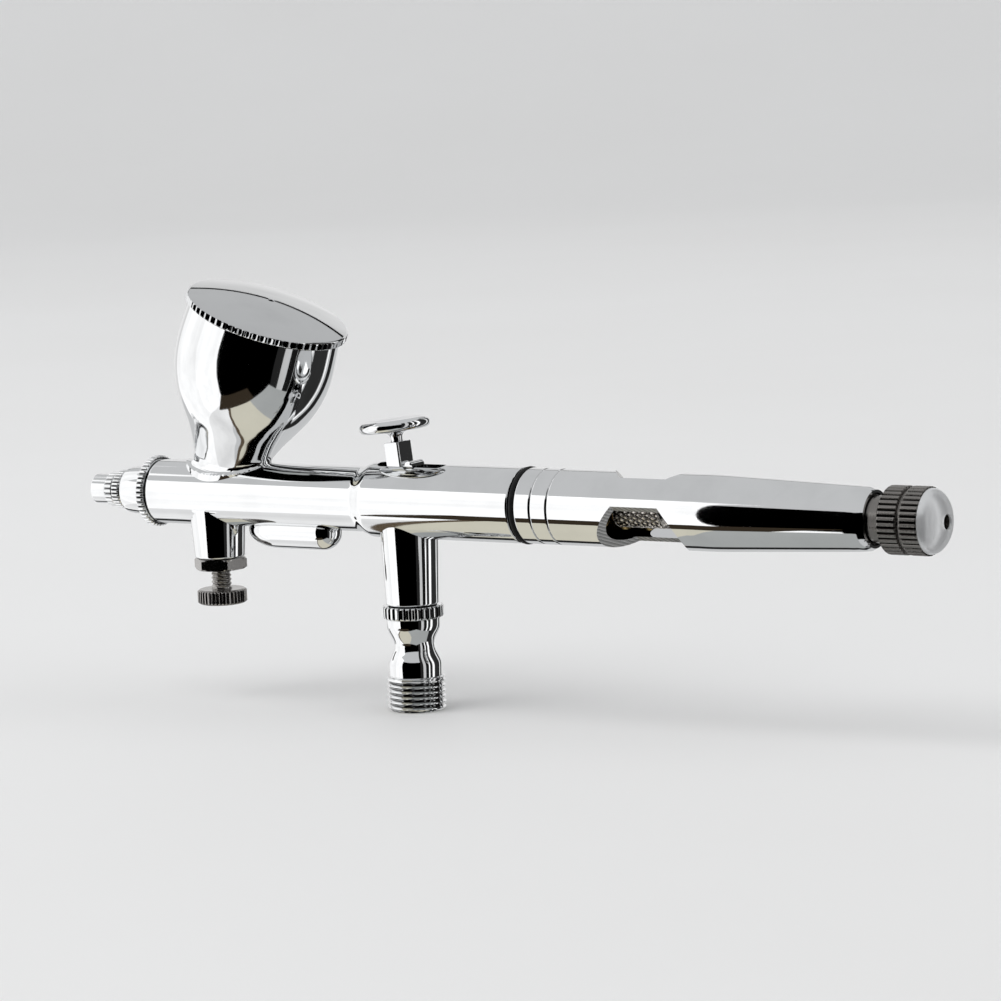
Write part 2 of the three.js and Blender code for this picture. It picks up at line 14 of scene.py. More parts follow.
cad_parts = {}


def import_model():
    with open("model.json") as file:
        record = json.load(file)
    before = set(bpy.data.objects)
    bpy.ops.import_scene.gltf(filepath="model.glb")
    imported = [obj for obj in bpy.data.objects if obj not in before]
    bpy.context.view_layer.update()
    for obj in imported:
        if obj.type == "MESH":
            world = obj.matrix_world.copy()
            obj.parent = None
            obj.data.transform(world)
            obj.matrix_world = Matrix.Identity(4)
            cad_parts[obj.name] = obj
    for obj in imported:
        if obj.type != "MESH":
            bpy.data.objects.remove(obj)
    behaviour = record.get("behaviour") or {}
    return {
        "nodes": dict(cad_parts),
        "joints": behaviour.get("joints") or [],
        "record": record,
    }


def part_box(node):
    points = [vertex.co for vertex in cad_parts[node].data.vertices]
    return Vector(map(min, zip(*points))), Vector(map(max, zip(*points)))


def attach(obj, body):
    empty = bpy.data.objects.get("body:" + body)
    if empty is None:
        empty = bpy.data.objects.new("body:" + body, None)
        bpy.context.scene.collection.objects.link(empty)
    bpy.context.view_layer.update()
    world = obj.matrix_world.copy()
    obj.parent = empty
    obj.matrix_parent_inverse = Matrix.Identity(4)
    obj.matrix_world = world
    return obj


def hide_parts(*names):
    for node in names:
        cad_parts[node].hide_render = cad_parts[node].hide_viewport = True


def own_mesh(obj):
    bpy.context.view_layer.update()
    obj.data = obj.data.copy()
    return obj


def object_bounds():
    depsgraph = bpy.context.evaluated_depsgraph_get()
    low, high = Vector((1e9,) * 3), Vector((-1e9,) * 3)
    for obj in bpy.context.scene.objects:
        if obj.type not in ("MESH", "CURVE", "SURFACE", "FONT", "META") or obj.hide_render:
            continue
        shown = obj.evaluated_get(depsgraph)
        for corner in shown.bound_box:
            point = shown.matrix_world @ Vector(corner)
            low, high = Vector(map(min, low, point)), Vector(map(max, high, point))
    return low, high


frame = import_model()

CAD_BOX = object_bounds()

MM = 0.001
MICRON = 0.000001
TURN = 2 * math.pi
RECORD = frame["record"]
BODY_OF = {n: body for body, nodes in RECORD["behaviour"]["bodies"].items() for n in nodes}
SLOT_OF = {part["node"]: part["material_slot"] for part in RECORD["subparts"]}
JOINT = {joint["name"]: joint for joint in frame["joints"]}


# ---- sizes: from the frame where its boxes give them, else the real object's ----
def middle(node):
    lowest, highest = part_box(node)
    return (lowest + highest) / 2


ORIGIN = Vector((middle("valve_body").x, 0, middle("needle").z))


def low(node):
    """The node's lowest corner, in drawing millimetres."""
    return (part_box(node)[0] - ORIGIN) / MM


def high(node):
    """The node's highest corner, in drawing millimetres."""
    return (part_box(node)[1] - ORIGIN) / MM


BARREL_FRONT = low("barrel").x
BARREL_END = high("barrel").x
BARREL_R = high("barrel").y
NOSE_R = 5.43  # the barrel's thinner front
STEP_X = -7.0  # where the barrel thickens
STEP_LENGTH = 3
SHOULDER_X = 23.1
SPIGOT_R = 4.75  # the barrel's rear end, inside the handle
SLOT_HALF_Y = 2.2  # the trigger's slot in the barrel
VALVE_BORE_R = 3.35

TRIMMER_X = (middle("trimmer_screw").x - ORIGIN.x) / MM
TRIMMER_BOSS_R = 4.33
TRIMMER_BOSS_Z = -10.8
TRIMMER_STEM_R = 1.7
TRIMMER_KNOB_R = 4.2
SCREW_PITCH = 0.7
VALVE_BOSS_R = 4.45
VALVE_BOSS_Z = -17.2
INLET_Z = low("valve_body").z
THREAD_R = 4.864
THREAD_PITCH = 0.907

CUP_AXIS = Vector(JOINT["lid_lift"]["axis"])
CUP_FOOT = Vector((-37.3, 0, 3))
CUP_WALL = 0.8
CUP_RIM_R = 13.2
FOOT_SQUEEZE = 0.62  # the foot's width across the barrel, as a share of its length
FOOT_TOP = 13  # where the squeeze ends
FOOT_R = 5.05  # near the barrel, only the cup's outside reaches further out than this
PAINT_WAY_R = 2  # the hole from the cup to the needle
CUP_FILLET = 1.1
LID_R = 13.9
LID_UNDER = 28.7
LID_EDGE = 1.4
LID_CROWN = 2.0

HANDLE_FRONT = low("handle").x
HANDLE_END = high("handle").x
HANDLE_R = high("handle").y
HANDLE_TAPER_X = 60
HANDLE_TAIL_R = 5.23
CUT_FROM = 39
CUT_TO = 54.7
CUT_DEPTH_R = 2.65  # how near the axis the flat comes
CUT_TURN = math.radians(-37)

KNOB_FRONT = 89.5
KNOB_DOME = 96.85  # where the knurl ends and the dome starts
KNOB_END = high("preset_knob").x
KNOB_R = 5.45

LEVER_PIN = (3, 0, -1.55)
PIN_HOLE_R = 0.5
PIVOT_Z = -4.5
TRIGGER_LEAN = math.radians(-6.5)
PAD_R = 6
PAD_UNDER = 16.2
PAD_RIM_R = 0.95


# ---- outlines ----
def rounded(profile, bevel=0.15, steps=3):
    """The same outline with its corners curved, and a point beside each corner that keeps the flats flat."""
    closed = profile[0] == profile[-1]
    points = [Vector(p) for p in (profile[:-1] if closed else profile)]
    result = []
    for i, point in enumerate(points):
        if not closed and i in (0, len(points) - 1):
            result.append(tuple(point))
            continue
        into = points[i - 1] - point
        out = points[(i + 1) % len(points)] - point
        if into.length < 1e-6 or out.length < 1e-6 or into.angle(out) > math.radians(165):
            result.append(tuple(point))
            continue
        cut = min(bevel, 0.45 * into.length, 0.45 * out.length)
        start = point + into.normalized() * cut
        end = point + out.normalized() * cut
        if into.length > 4 * cut:
            result.append(tuple(point + into.normalized() * 1.35 * cut))
        for k in range(steps + 1):
            t = k / steps
            result.append(tuple((1 - t) ** 2 * start + 2 * t * (1 - t) * point + t ** 2 * end))
        if out.length > 4 * cut:
            result.append(tuple(point + out.normalized() * 1.35 * cut))
    if closed:
        result.append(result[0])
    return result


def dense(profile, start, end, step):
    """Extra points on the stretches between start and end, for reliefs that vary along the axis."""
    result = [profile[0]]
    for (a0, r0), (a1, r1) in zip(profile, profile[1:]):
        inside = min(a0, a1) >= start - 1e-6 and max(a0, a1) <= end + 1e-6
        count = max(1, round(abs(a1 - a0) / step)) if inside else 1
        for k in range(1, count + 1):
            t = k / count
            result.append((a0 + (a1 - a0) * t, r0 + (r1 - r0) * t))
    return result


def smooth_curve(points, per_span=6):
    """A Catmull-Rom curve through the points."""
    ends = [2 * Vector(points[0]) - Vector(points[1]), 2 * Vector(points[-1]) - Vector(points[-2])]
    p = [ends[0], *map(Vector, points), ends[1]]
    result = []
    for a, b, c, d in zip(p, p[1:], p[2:], p[3:]):
        for k in range(per_span):
            t = k / per_span
            point = 0.5 * (2 * b + (c - a) * t + (2 * a - 5 * b + 4 * c - d) * t ** 2
                           + (3 * b - a - 3 * c + d) * t ** 3)
            result.append(tuple(point))
    result.append(tuple(points[-1]))
    return result


def arc(centre, radius, start, end, steps, stretch=1.0):
    """Points (along, radius) on an arc; angles in degrees, 0 towards +along."""
    result = []
    for k in range(steps + 1):
        angle = math.radians(start + (end - start) * k / steps)
        result.append((centre[0] + stretch * radius * math.cos(angle), centre[1] + radius * math.sin(angle)))
    return result


# ---- reliefs: how a turned surface is cut, as radius(along, angle, radius) ----
def wave(t):
    """0 at whole numbers, 1 half way between them."""
    return 1 - abs(2 * (t % 1.0) - 1)


def straight_knurl(radius, depth, teeth, start, end, crest=0.35):
    def relief(along, angle, r):
        if not start <= along <= end:
            return r
        groove = max(0.0, wave(angle / TURN * teeth) - crest) / (1 - crest)
        return min(r, radius - depth * groove)
    return relief


def diamond_knurl(radius, depth, teeth, slant, start, end):
    def relief(along, angle, r):
        if not start <= along <= end:
            return r
        turn = angle / TURN * teeth
        groove = max(wave(turn + along * slant), wave(turn - along * slant))
        return min(r, radius - depth * max(0.0, groove - 0.45) / 0.55)
    return relief


def helical_thread(radius, depth, pitch, start, end):
    def relief(along, angle, r):
        if not start <= along <= end:
            return r
        groove = min(1.0, max(0.0, 1.3 * wave(along / pitch + angle / TURN) - 0.15))
        fade = min(1.0, (end - along) / (0.8 * pitch))
        return min(r, radius - depth * groove * fade)
    return relief


def hexagon(apothem, turn):
    def relief(along, angle, r):
        sector = (angle - turn + math.pi / 6) % (math.pi / 3) - math.pi / 6
        return min(r, apothem / math.cos(sector))
    return relief


def brazed(barrel_r, fillet):
    """A boss under the barrel flares where it meets the barrel's underside."""
    def relief(along, angle, r):
        surface = -math.sqrt(max(0.0, barrel_r ** 2 - (r * math.sin(angle)) ** 2))
        gap = (surface - along) / fillet
        if gap >= 1:
            return r
        return r + fillet * (1 - math.sqrt(1 - (1 - max(gap, 0.0)) ** 2))
    return relief


def several(*reliefs):
    def relief(along, angle, r):
        for each in reliefs:
            r = each(along, angle, r)
        return r
    return relief


# ---- meshes, in drawing millimetres ----
SAME_POINT = 1e-5
SLIVER = 5e-4


def raw_object(name, vertices, faces):
    mesh = bpy.data.meshes.new(name)
    mesh.from_pydata([tuple(v) for v in vertices], [], faces)
    bm = bmesh.new()
    bm.from_mesh(mesh)
    bmesh.ops.remove_doubles(bm, verts=bm.verts, dist=SAME_POINT)
    bmesh.ops.recalc_face_normals(bm, faces=bm.faces)
    bm.to_mesh(mesh)
    bm.free()
    obj = bpy.data.objects.new(name, mesh)
    bpy.context.scene.collection.objects.link(obj)
    return obj


def turned(name, profile, axis="X", segments=96, relief=None, centre=(0, 0), bend=None):
    """A profile of (along, radius) turned about X or Z; centre is (y, z) or (x, y).

    The profile starts and ends on the axis, or closes on itself. bend moves a finished point.
    """
    closed = profile[0] == profile[-1]
    rows = profile[:-1] if closed else profile
    vertices, index = [], []
    for along, radius in rows:
        if radius < 1e-6:
            index.append([len(vertices)] * segments)
            vertices.append((along, 0.0, 0.0))
            continue
        index.append(list(range(len(vertices), len(vertices) + segments)))
        for j in range(segments):
            angle = TURN * j / segments
            r = relief(along, angle, radius) if relief else radius
            vertices.append((along, r * math.cos(angle), r * math.sin(angle)))
    faces = []
    pairs = list(zip(index, index[1:])) + ([(index[-1], index[0])] if closed else [])
    for a, b in pairs:
        for j in range(segments):
            k = (j + 1) % segments
            corners = [a[j], a[k], b[k], b[j]]
            faces.append(list(dict.fromkeys(corners)))
    faces = [f for f in faces if len(f) > 2]
    if axis == "X":
        placed = [(along, p + centre[0], q + centre[1]) for along, p, q in vertices]
    else:
        placed = [(p + centre[0], q + centre[1], along) for along, p, q in vertices]
    if bend:
        placed = [bend(Vector(p)) for p in placed]
    return raw_object(name, placed, faces)


def extruded(name, outline, start, end, axis="Y"):
    """A closed outline, (x, z) made thick along Y or (x, y) made thick along Z."""
    count = len(outline)
    if axis == "Y":
        vertices = [(p, start, q) for p, q in outline] + [(p, end, q) for p, q in outline]
    else:
        vertices = [(p, q, start) for p, q in outline] + [(p, q, end) for p, q in outline]
    faces = [list(range(count)), list(range(2 * count - 1, count - 1, -1))]
    for i in range(count):
        k = (i + 1) % count
        faces.append([i, k, count + k, count + i])
    return raw_object(name, vertices, faces)


def round_rectangle(x0, x1, y0, y1, radius, steps=6):
    centres = [(x1 - radius, y1 - radius), (x0 + radius, y1 - radius), (x0 + radius, y0 + radius),
               (x1 - radius, y0 + radius)]
    result = []
    for quarter, centre in enumerate(centres):
        result += arc(centre, radius, 90 * quarter, 90 * quarter + 90, steps)
    return result


def pin_hole(radius, place=(0, 0, 0)):
    """A cutter for a pin that runs across, along Y."""
    reach = 3
    tool = turned("hole", [(-reach, 0), (-reach, radius), (reach, radius), (reach, 0)], "Z", 32)
    tool.data.transform(Matrix.Translation(place) @ Matrix.Rotation(math.pi / 2, 4, "X"))
    return tool


def keep_modified(obj):
    """Makes the modifiers' result the object's own mesh."""
    bpy.context.view_layer.update()
    evaluated = obj.evaluated_get(bpy.context.evaluated_depsgraph_get())
    mesh = bpy.data.meshes.new_from_object(evaluated)
    obj.modifiers.clear()
    obj.data = mesh


def combine(obj, operation, *tools):
    """Joins the tools to obj ("UNION") or cuts them from it ("DIFFERENCE"), and clears away slivers."""
    for tool in tools:
        step = obj.modifiers.new("boolean", "BOOLEAN")
        step.operation = operation
        step.object = tool
        step.solver = "EXACT"
        keep_modified(obj)
        bpy.data.objects.remove(tool)
    bm = bmesh.new()
    bm.from_mesh(obj.data)
    bmesh.ops.remove_doubles(bm, verts=bm.verts, dist=SLIVER)
    bmesh.ops.dissolve_degenerate(bm, edges=bm.edges, dist=SLIVER)
    bmesh.ops.triangulate(bm, faces=[face for face in bm.faces if len(face.verts) > 4])
    bm.to_mesh(obj.data)
    bm.free()
    return obj


def soften(obj, width, steps=2, angle=30):
    """Bevels the sharp edges."""
    bevel = obj.modifiers.new("bevel", "BEVEL")
    bevel.width = width
    bevel.segments = steps
    bevel.limit_method = "ANGLE"
    bevel.angle_limit = math.radians(angle)
    keep_modified(obj)
    return obj


def finish_piece(obj, node, material, sharp=32, second=None, where=None):
    """Moves the mesh to the row frame, shades it, and puts it on its node's body.

    Faces for which where(centre, normal) is true, in the drawing frame, get the second material.
    """
    obj.name = "fine_" + node
    second_faces = [where(face.center, face.normal) for face in obj.data.polygons] if second else []
    obj.data.transform(Matrix.Translation(ORIGIN) @ Matrix.Scale(MM, 4))
    obj.data.materials.clear()
    obj.data.materials.append(material)
    if second:
        obj.data.materials.append(second)
        obj.data.polygons.foreach_set("material_index", [int(chosen) for chosen in second_faces])
    obj.data.shade_smooth()
    obj.data.set_sharp_from_angle(angle=math.radians(sharp))
    weighted = obj.modifiers.new("weighted normals", "WEIGHTED_NORMAL")
    weighted.keep_sharp = True
    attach(obj, BODY_OF[node])
    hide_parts(node)
    return obj


# ---- materials ----
class Shader:
    """A node material with a short way to add and link nodes."""

    def __init__(self, name):
        self.material = bpy.data.materials.new(name)
        self.material.use_nodes = True
        self.tree = self.material.node_tree
        self.surface = self.tree.nodes["Principled BSDF"]

    def add(self, kind, output=0, settings=(), **inputs):
        node = self.tree.nodes.new(kind)
        for key, value in dict(settings).items():
            setattr(node, key, value)
        for key, value in inputs.items():
            self.set(node, key.replace("_", " "), value)
        return node.outputs[output]

    def set(self, node, key, value):
        socket = node.inputs[int(key[1:])] if key[0] == "i" and key[1:].isdigit() else node.inputs[key]
        if isinstance(value, bpy.types.NodeSocket):
            self.tree.links.new(value, socket)
        else:
            socket.default_value = value

    def principled(self, **inputs):
        for key, value in inputs.items():
            self.set(self.surface, key.replace("_", " "), value)

    def place(self, scale):
        """Object coordinates stretched by scale, so that grain can run one way."""
        coordinates = self.add("ShaderNodeTexCoord", output=3)
        return self.add("ShaderNodeMapping", Vector=coordinates, Scale=scale)

    def noise(self, scale, detail=3.0, stretch=(1, 1, 1), rough=0.55):
        return self.add("ShaderNodeTexNoise", Vector=self.place(stretch), Scale=scale, Detail=detail,
                        Roughness=rough)

    def spread(self, value, low_in, high_in, low_out, high_out):
        return self.add("ShaderNodeMapRange", Value=value, From_Min=low_in, From_Max=high_in,
                        To_Min=low_out, To_Max=high_out)

    def blend(self, factor, first, second):
        return self.add("ShaderNodeMix", output=2, settings={"data_type": "RGBA"}, i0=factor, i6=first,
                        i7=second)

    def bump(self, height, depth, strength=1.0):
        return self.add("ShaderNodeBump", Height=height, Distance=depth, Strength=strength)


CREVICE = 0.5 * MM  # how wide a groove still gets painted shade
TURNING_LINES = 5200.0  # for each metre along the piece
ROUND_THE_PIECE = 30.0  # so a line hardly changes on its way round


def grey(value, warmth=0.0):
    return (value * (1 + warmth), value, value * (1 - warmth), 1.0)


def machined(name, colour, crevice_shade, rough, rough_spread, ripple, lathe_axis=None, painted_shade=0.0, metal=1.0):
    """Metal with handling stains, a faint ripple and painted shade in its grooves, where ambient occlusion
    finds a crevice.

    A piece turned on a lathe also has turning lines round lathe_axis, 0 for X or 2 for Z.
    """
    shader = Shader(name)
    stains = shader.noise(140, detail=5.0)
    stain_share = shader.spread(stains, 0.45, 0.75, 0.0, 1.0)
    open_sky = shader.add("ShaderNodeAmbientOcclusion", output=1, settings={"samples": 6, "only_local": True},
                          Distance=CREVICE)
    # Painted shade: the colour goes towards the given dark colour in grooves and gaps that ambient occlusion
    # finds.
    painted_shade_share = shader.spread(open_sky, 0.45, 0.85, painted_shade, 0.0)
    tint = shader.blend(stain_share, colour, tuple(0.94 * c for c in colour[:3]) + (1.0,))
    tint = shader.blend(painted_shade_share, tint, crevice_shade)
    smudge = shader.spread(shader.noise(45, detail=6.0), 0.35, 0.7, rough, rough + rough_spread)
    height = shader.noise(900, detail=2.0)
    if lathe_axis is not None:
        stretch = [ROUND_THE_PIECE] * 3
        stretch[lathe_axis] = TURNING_LINES
        lines = shader.noise(1.0, detail=3.0, stretch=tuple(stretch), rough=0.7)
        height = shader.add("ShaderNodeMath", settings={"operation": "ADD"}, i0=height, i1=lines)
    shader.principled(Base_Color=tint, Metallic=metal, Roughness=smudge, Normal=shader.bump(height, ripple))
    return shader.material


def milled(name, colour, pitch):
    """A face as the cutter left it: slanting tool marks over satin metal."""
    shader = Shader(name)
    coordinates = shader.add("ShaderNodeTexCoord", output=3)
    turned_marks = shader.add("ShaderNodeMapping", Vector=coordinates, Rotation=(0.6, 0.9, 0.4))
    marks = shader.add("ShaderNodeTexWave", output=1, settings={"wave_profile": "SAW"}, Vector=turned_marks,
                       Scale=TURN / 20 / pitch, Distortion=1.2, Detail=2.0, Detail_Scale=3.0)
    tint = shader.blend(shader.spread(marks, 0.0, 1.0, 0.0, 0.8), colour, grey(0.18))
    rough = shader.spread(shader.noise(400), 0.3, 0.7, 0.24, 0.4)
    shader.principled(Base_Color=tint, Metallic=1.0, Roughness=rough, Normal=shader.bump(marks, 20 * MICRON))
    return shader.material


def rubber(name):
    shader = Shader(name)
    dust = shader.spread(shader.noise(900, detail=6.0), 0.5, 0.8, 0.0, 0.5)
    tint = shader.blend(dust, grey(0.006), grey(0.03, 0.02))
    rough = shader.spread(shader.noise(300), 0.3, 0.7, 0.45, 0.65)
    shader.principled(Base_Color=tint, Roughness=rough, Specular_IOR_Level=0.25,
                      Normal=shader.bump(shader.noise(6000), 10 * MICRON))
    return shader.material


def sealing_plastic(name):
    shader = Shader(name)
    cloud = shader.spread(shader.noise(400, detail=4.0), 0.35, 0.7, 0.0, 1.0)
    tint = shader.blend(cloud, grey(0.88), grey(0.78, 0.02))
    shader.principled(Base_Color=tint, Roughness=0.38, Subsurface_Weight=0.25, Subsurface_Scale=0.0008,
                      Normal=shader.bump(shader.noise(5000), 4 * MICRON))
    return shader.material


CHROME_COLOUR = grey(0.86, -0.008)
KNURLED_COLOUR = grey(0.84, -0.008)
# In each machined finish below, the dark colour after its own colour is painted shade, laid into grooves and
# gaps with the strength given by keyword.
CHROME = machined("chrome", CHROME_COLOUR, grey(0.16), 0.02, 0.05, 0.4 * MICRON, painted_shade=0.5)
CHROME_X = machined("chrome_turned_x", CHROME_COLOUR, grey(0.12), 0.02, 0.05, 0.5 * MICRON, 0, painted_shade=0.6)
CHROME_NOSE = machined("chrome_knurled_x", KNURLED_COLOUR, grey(0.01), 0.03, 0.05, 0.5 * MICRON, 0, painted_shade=1.0)
CHROME_VALVE = machined("chrome_knurled_z", KNURLED_COLOUR, grey(0.01), 0.03, 0.05, 0.5 * MICRON, 2,
                        painted_shade=1.0)
SATIN_LID = machined("chrome_lid", grey(0.72, -0.01), grey(0.05), 0.035, 0.03, 0.6 * MICRON, painted_shade=0.8)
SILVER = machined("satin_silver", grey(0.78, -0.01), grey(0.3), 0.3, 0.1, 1.5 * MICRON, 0, metal=0.6)
NICKEL_X = machined("dark_nickel_x", grey(0.26, 0.05), grey(0.01), 0.16, 0.14, 2 * MICRON, 0, painted_shade=0.9)
NICKEL_Z = machined("dark_nickel_z", grey(0.42, 0.03), grey(0.02), 0.14, 0.12, 2 * MICRON, 2, painted_shade=0.9)
NICKEL_CHUCK = machined("chuck_nickel", grey(0.7, 0.06), grey(0.02), 0.2, 0.12, 2 * MICRON, 0, painted_shade=0.95)
STEEL = machined("needle_steel", grey(0.66), grey(0.15), 0.12, 0.08, 1 * MICRON, 0, painted_shade=0.4)
BRASS = machined("brass", (0.72, 0.52, 0.22, 1.0), (0.16, 0.09, 0.03, 1.0), 0.16, 0.14, 1.5 * MICRON, 0,
                 painted_shade=0.7)
MILLED = milled("milled_chrome", grey(0.86, 0.01), 0.0006)
RUBBER = rubber("black_rubber")
WHITE_SEAL = sealing_plastic("white_seal")


# ---- barrel with its bosses and air passage ----
def barrel():
    head_r, tube_r, case_r = 3.65, 4.4, 4.0
    step = []
    for t in (0, 0.12, 0.25, 0.37, 0.5, 0.63, 0.75, 0.88, 1):
        rise = 3 * t * t - 2 * t ** 3
        step.append((STEP_X + STEP_LENGTH * (t - 0.5), NOSE_R + (BARREL_R - NOSE_R) * rise))
    outside = rounded([(BARREL_FRONT, head_r), (BARREL_FRONT, NOSE_R), *step, (SHOULDER_X, BARREL_R),
                       (SHOULDER_X, SPIGOT_R), (BARREL_END, SPIGOT_R), (BARREL_END, case_r)], 0.3, 4)
    # from the tail: the spring case's thread, the trigger's room, the packing screw, the packing, the
    # paint's way, the head seal and the air head
    inside = [(10, case_r), (10, tube_r), (-5, tube_r), (-5, 2.75), (-20.9, 2.75), (-20.9, 2.2), (-24.2, 2.2),
              (-24.2, 1.6), (-44, 1.6), (-44, 3.35), (-45.3, 3.35), (-45.3, head_r), (BARREL_FRONT, head_r)]
    tube = turned("barrel", dense(outside + inside, -60, 40, 3), segments=144)
    combine(tube, "UNION",
            boss("trimmer_boss", TRIMMER_X, TRIMMER_BOSS_R, TRIMMER_BOSS_Z, NOSE_R),
            boss("valve_boss", 0, VALVE_BOSS_R, VALVE_BOSS_Z, BARREL_R),
            air_passage())
    slot = extruded("slot", round_rectangle(-4.8, 8.2, -SLOT_HALF_Y, SLOT_HALF_Y, 1.2), 0, 8, "Z")
    pocket = extruded("pocket", round_rectangle(-3.3, 3.3, -SLOT_HALF_Y, SLOT_HALF_Y, 0.4), -5.9, 1, "Z")
    valve_steps = [(-18.2, 0), (-18.2, 4.05), (-16.6, 4.05), (-16.6, VALVE_BORE_R), (-11.3, VALVE_BORE_R),
                   (-11.3, 1.9), (-5, 1.9), (-5, 0)]
    trimmer_steps = [(-12, 0), (-12, 2.45), (-4.7, 2.45), (-4.7, TRIMMER_STEM_R), (-3.9, TRIMMER_STEM_R),
                     (-3.9, 0)]
    passage_steps = [(-3.2, 0), (-3.2, PAINT_WAY_R), (6, PAINT_WAY_R), (6, 0)]
    combine(tube, "DIFFERENCE", slot, pocket,
            turned("valve_bore", valve_steps, "Z", 96),
            turned("trimmer_bore", trimmer_steps, "Z", 96, centre=(TRIMMER_X, 0)),
            turned("passage", passage_steps, "Z", 48, bend=cup_place))
    return finish_piece(tube, "barrel", CHROME_X)


def boss(name, x, radius, bottom, barrel_r):
    """A round boss under the barrel, brazed on; it starts inside the barrel's wall."""
    top = -2
    profile = rounded([(bottom, 0), (bottom, radius), (top, radius), (top, 0)], 0.35, 4)
    return turned(name, dense(profile, -9, top, 0.12), "Z", 96, brazed(barrel_r, 0.55), (x, 0))


def air_passage():
    """The streamlined cover over the air passage, under the barrel."""
    start, end, radius, height = -32, -14, 3, -5.9
    front_end, back_start = start + 2 * radius, end - radius
    front = arc((front_end, 0), radius, 180, 90, 10, stretch=2)
    back = arc((back_start, 0), radius, 90, 0, 10)
    points = [*front, *back]
    points[0], points[-1] = (start, 0), (end, 0)
    return turned("air_passage", dense(points, -40, 0, 1.5), segments=64, centre=(0, height))


# ---- paint cup and lid ----
CUP_SIDE = CUP_AXIS.cross(Vector((0, 1, 0))).normalized() * -1  # towards the tail, square to the axis


def cup_place(point):
    """From the cup's own frame, with +Z along its axis, to the drawing frame."""
    return CUP_FOOT + CUP_SIDE * point.x + Vector((0, point.y, 0)) + CUP_AXIS * point.z


def cup_outline(inset):
    """The tulip curve from foot to rim, as (along the cup's axis, radius)."""
    through = [(2.6, 6.4), (5.6, 7.6), (8.6, 8.9), (11.6, 10.5), (14.6, 12), (18.3, 13.1), (22.5, 13.5),
               (LID_UNDER - 0.1, CUP_RIM_R)]
    return smooth_curve([(along, r - inset) for along, r in through], 10)


def cup_bend(point):
    """Squeezes the foot across the barrel, and flares it where it is brazed on."""
    radius = math.hypot(point.x, point.y)
    t = min(1.0, max(0.0, point.z / FOOT_TOP))
    share = FOOT_SQUEEZE + (1 - FOOT_SQUEEZE) * t * t * (3 - 2 * t)
    if radius > PAINT_WAY_R + 0.5:
        point.y *= share
    placed = cup_place(point)
    gap = (math.hypot(placed.y, placed.z) - NOSE_R) / CUP_FILLET
    if radius > FOOT_R and gap < 1:
        flare = CUP_FILLET * (1 - math.sqrt(1 - (1 - max(gap, 0.0)) ** 2))
        outward = Vector((point.x, point.y / share, 0)).normalized()
        placed += (CUP_SIDE * outward.x + Vector((0, outward.y, 0))) * flare
    return placed


def paint_cup():
    rim = LID_UNDER - 0.1
    bottom = -2
    floor = 8.6  # below this the inside leaves the outer curve and turns in to the paint way
    outer = [(bottom, PAINT_WAY_R), (bottom, 5.6), *cup_outline(0)]
    inner = [p for p in reversed(cup_outline(CUP_WALL)) if p[0] > floor]
    lip = [(rim, CUP_RIM_R - 0.25), (rim, CUP_RIM_R - CUP_WALL + 0.1)]
    bowl = smooth_curve([inner[-1], (7.2, 7.0), (6.4, 5.0), (5.9, 3.4), (5.6, 2.2)], 6)[1:]
    profile = outer + lip + inner[1:] + bowl + [(5.4, PAINT_WAY_R), (bottom, PAINT_WAY_R)]
    cup = turned("cup", dense(profile, -3, 6, 0.2), "Z", 160, bend=cup_bend)
    seat_r = NOSE_R - 0.03
    seat = turned("seat", [(-60, 0), (-60, seat_r), (-10, seat_r), (-10, 0)], segments=160)
    combine(cup, "DIFFERENCE", seat)
    return finish_piece(cup, "paint_cup", CHROME)


def cup_lid():
    top = LID_UNDER + LID_EDGE
    inside_top = 29.3
    plug = CUP_RIM_R - CUP_WALL - 0.15
    plug_end = LID_UNDER - 1.9
    vent_r = 0.5
    sphere = (LID_R ** 2 + LID_CROWN ** 2) / (2 * LID_CROWN)
    rings = 13
    crown = []
    for k in range(rings + 1):
        r = (LID_R - 0.3) * (1 - k / rings) + vent_r * k / rings
        crown.append((top + LID_CROWN - sphere + math.sqrt(sphere ** 2 - r ** 2), r))
    profile = [(inside_top, vent_r), (inside_top, plug - 0.8), (plug_end, plug - 0.8), (plug_end, plug),
               (LID_UNDER + 0.1, plug), (LID_UNDER + 0.1, LID_R - 0.3), (LID_UNDER + 0.25, LID_R),
               (top - 0.15, LID_R), *crown, (inside_top, vent_r)]
    teeth = 66
    relief = straight_knurl(LID_R, 0.42, teeth, LID_UNDER, top - 0.1, crest=0.3)
    lid = turned("lid", rounded(profile, 0.1, 2), "Z", teeth * 8, relief, bend=cup_place)
    return finish_piece(lid, "cup_lid", SATIN_LID)


# ---- nose ----
def air_head():
    front, back, ring_r = low("air_head").x, high("air_head").x, high("air_head").y
    ring_back, cap_r, thread_r, bore = -50.05, 3.2, 3.5, 1.75
    profile = [(front, cap_r), (front, ring_r - 0.3), (front + 0.25, ring_r), (ring_back - 0.25, ring_r),
               (ring_back, ring_r - 0.3), (ring_back, thread_r), (back, thread_r), (back, bore),
               (ring_back - 0.15, bore), (ring_back - 0.15, cap_r), (front, cap_r)]
    teeth = 44
    relief = straight_knurl(ring_r, 0.42, teeth, front, ring_back)
    head = turned("air_head", rounded(profile, 0.08, 2), segments=teeth * 8, relief=relief)
    return finish_piece(head, "air_head", CHROME_NOSE)


